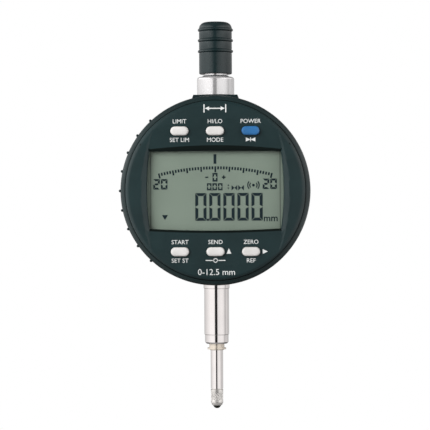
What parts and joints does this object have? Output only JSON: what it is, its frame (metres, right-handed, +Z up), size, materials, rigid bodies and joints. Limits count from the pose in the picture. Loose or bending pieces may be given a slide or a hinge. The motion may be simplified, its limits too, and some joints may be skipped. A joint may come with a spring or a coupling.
{
  "type": "digital dial indicator",
  "caption": "Round digital dial indicator with LCD and six keys, turning display unit, ribbed lift cap, clamping stem and sprung spindle with ball contact.",
  "frame": {"origin": "on the spindle's axis, halfway along the cylindrical clamping length of the stem", "axes": "+Z up the spindle towards the lift cap, -Y out of the display towards the reader, +X to the reader's right"},
  "size_m": [0.0606, 0.0273, 0.1247],
  "materials": {
    "black_body": "fine-grained moulded black plastic with a slight green tint",
    "black_rim": "satin moulded black plastic",
    "black_cap": "satin black moulded plastic",
    "ground_steel": "ground and hardened stainless steel, bright",
    "turned_steel": "fine turned steel",
    "dark_steel": "blackened steel",
    "carbide": "polished hard metal",
    "brass": "satin brass",
    "board": "green solder mask",
    "chip": "moulded black epoxy",
    "seal_rubber": "matt black nitrile rubber",
    "wiper_plastic": "cream low-friction plastic",
    "key_grey": "light grey key plastic",
    "key_blue": "blue key plastic",
    "lcd": "grey-green liquid crystal panel",
    "lens": "clear scratch-resistant window",
    "scale_glass": "patterned scale on a glass-fibre strip",
    "flex": "amber polyimide flat cable",
    "zebra": "pink and black striped conductive rubber"
  },
  "bodies": {
    "base": {"base_housing": "black_body", "back_cover": "black_body", "back_gasket": "seal_rubber", "back_screws": "turned_steel", "stem": "ground_steel", "stem_nut": "turned_steel", "lower_bush": "ground_steel", "stem_wiper": "wiper_plastic", "stop_bumper": "seal_rubber", "guide_tube": "ground_steel", "upper_bush": "brass", "top_collar": "ground_steel", "neck_seal_ring": "seal_rubber", "sensor_board": "board", "sensor_chips": "chip", "sensor_board_screws": "turned_steel", "flex_cable": "flex", "guide_rail": "turned_steel", "guide_rail_screws": "turned_steel", "spring_anchor": "dark_steel", "return_spring": "turned_steel", "friction_ring": "seal_rubber", "rotation_stop_pin": "dark_steel", "battery": "turned_steel", "battery_holder": "chip", "battery_contacts": "brass", "holder_screws": "turned_steel", "data_socket": "chip"},
    "battery_hatch": {"battery_cover": "black_body", "battery_cover_seal": "seal_rubber"},
    "port_cover": {"data_port_cover": "black_rim"},
    "plunger": {"spindle": "ground_steel", "contact_point": "turned_steel", "contact_ball": "carbide", "stop_clip": "dark_steel", "lift_cap": "black_cap", "scale_carrier": "dark_steel", "scale_strip": "scale_glass", "carrier_screws": "turned_steel", "guide_pin": "ground_steel"},
    "display_unit": {"grip_ring": "black_rim", "front_cover": "black_body", "window_lens": "lens", "window_gasket": "seal_rubber", "lcd_panel": "lcd", "lcd_frame": "chip", "zebra_strips": "zebra", "display_board": "board", "key_switches": "brass", "display_chips": "chip", "display_screws": "turned_steel", "display_rear_plate": "black_rim", "pivot_hub": "turned_steel", "retaining_ring": "dark_steel"},
    "key_tol_body": {"key_tol": "key_grey"},
    "key_menu_body": {"key_menu": "key_grey"},
    "key_power_body": {"key_power": "key_blue"},
    "key_preset_body": {"key_preset": "key_grey"},
    "key_data_body": {"key_data": "key_grey"},
    "key_reset_body": {"key_reset": "key_grey"}
  },
  "joints": [
    {"name": "spindle_slide", "type": "slide", "parent": "base", "child": "plunger", "axis": [0, 0, 1], "range_m": [0, 0.0125], "stiffness_N_per_m": 25, "springref_m": -0.025, "deforming": ["return_spring"]},
    {"name": "display_turn", "type": "hinge", "parent": "base", "child": "display_unit", "pos_m": [0, -0.0125, 0.03885], "axis": [0, 1, 0], "range_deg": [-135, 135]},
    {"name": "battery_cover_turn", "type": "hinge", "parent": "base", "child": "battery_hatch", "pos_m": [0, 0.009, 0.03885], "axis": [0, 1, 0], "range_deg": [0, 45]},
    {"name": "port_cover_pull", "type": "slide", "parent": "base", "child": "port_cover", "axis": [1, 0, 0], "range_m": [0, 0.008]},
    {"name": "press_tol", "type": "slide", "parent": "display_unit", "child": "key_tol_body", "axis": [0, 1, 0], "range_m": [0, 0.0005], "stiffness_N_per_m": 2000},
    {"name": "press_menu", "type": "slide", "parent": "display_unit", "child": "key_menu_body", "axis": [0, 1, 0], "range_m": [0, 0.0005], "stiffness_N_per_m": 2000},
    {"name": "press_power", "type": "slide", "parent": "display_unit", "child": "key_power_body", "axis": [0, 1, 0], "range_m": [0, 0.0005], "stiffness_N_per_m": 2000},
    {"name": "press_preset", "type": "slide", "parent": "display_unit", "child": "key_preset_body", "axis": [0, 1, 0], "range_m": [0, 0.0005], "stiffness_N_per_m": 2000},
    {"name": "press_data", "type": "slide", "parent": "display_unit", "child": "key_data_body", "axis": [0, 1, 0], "range_m": [0, 0.0005], "stiffness_N_per_m": 2000},
    {"name": "press_reset", "type": "slide", "parent": "display_unit", "child": "key_reset_body", "axis": [0, 1, 0], "range_m": [0, 0.0005], "stiffness_N_per_m": 2000}
  ]
}
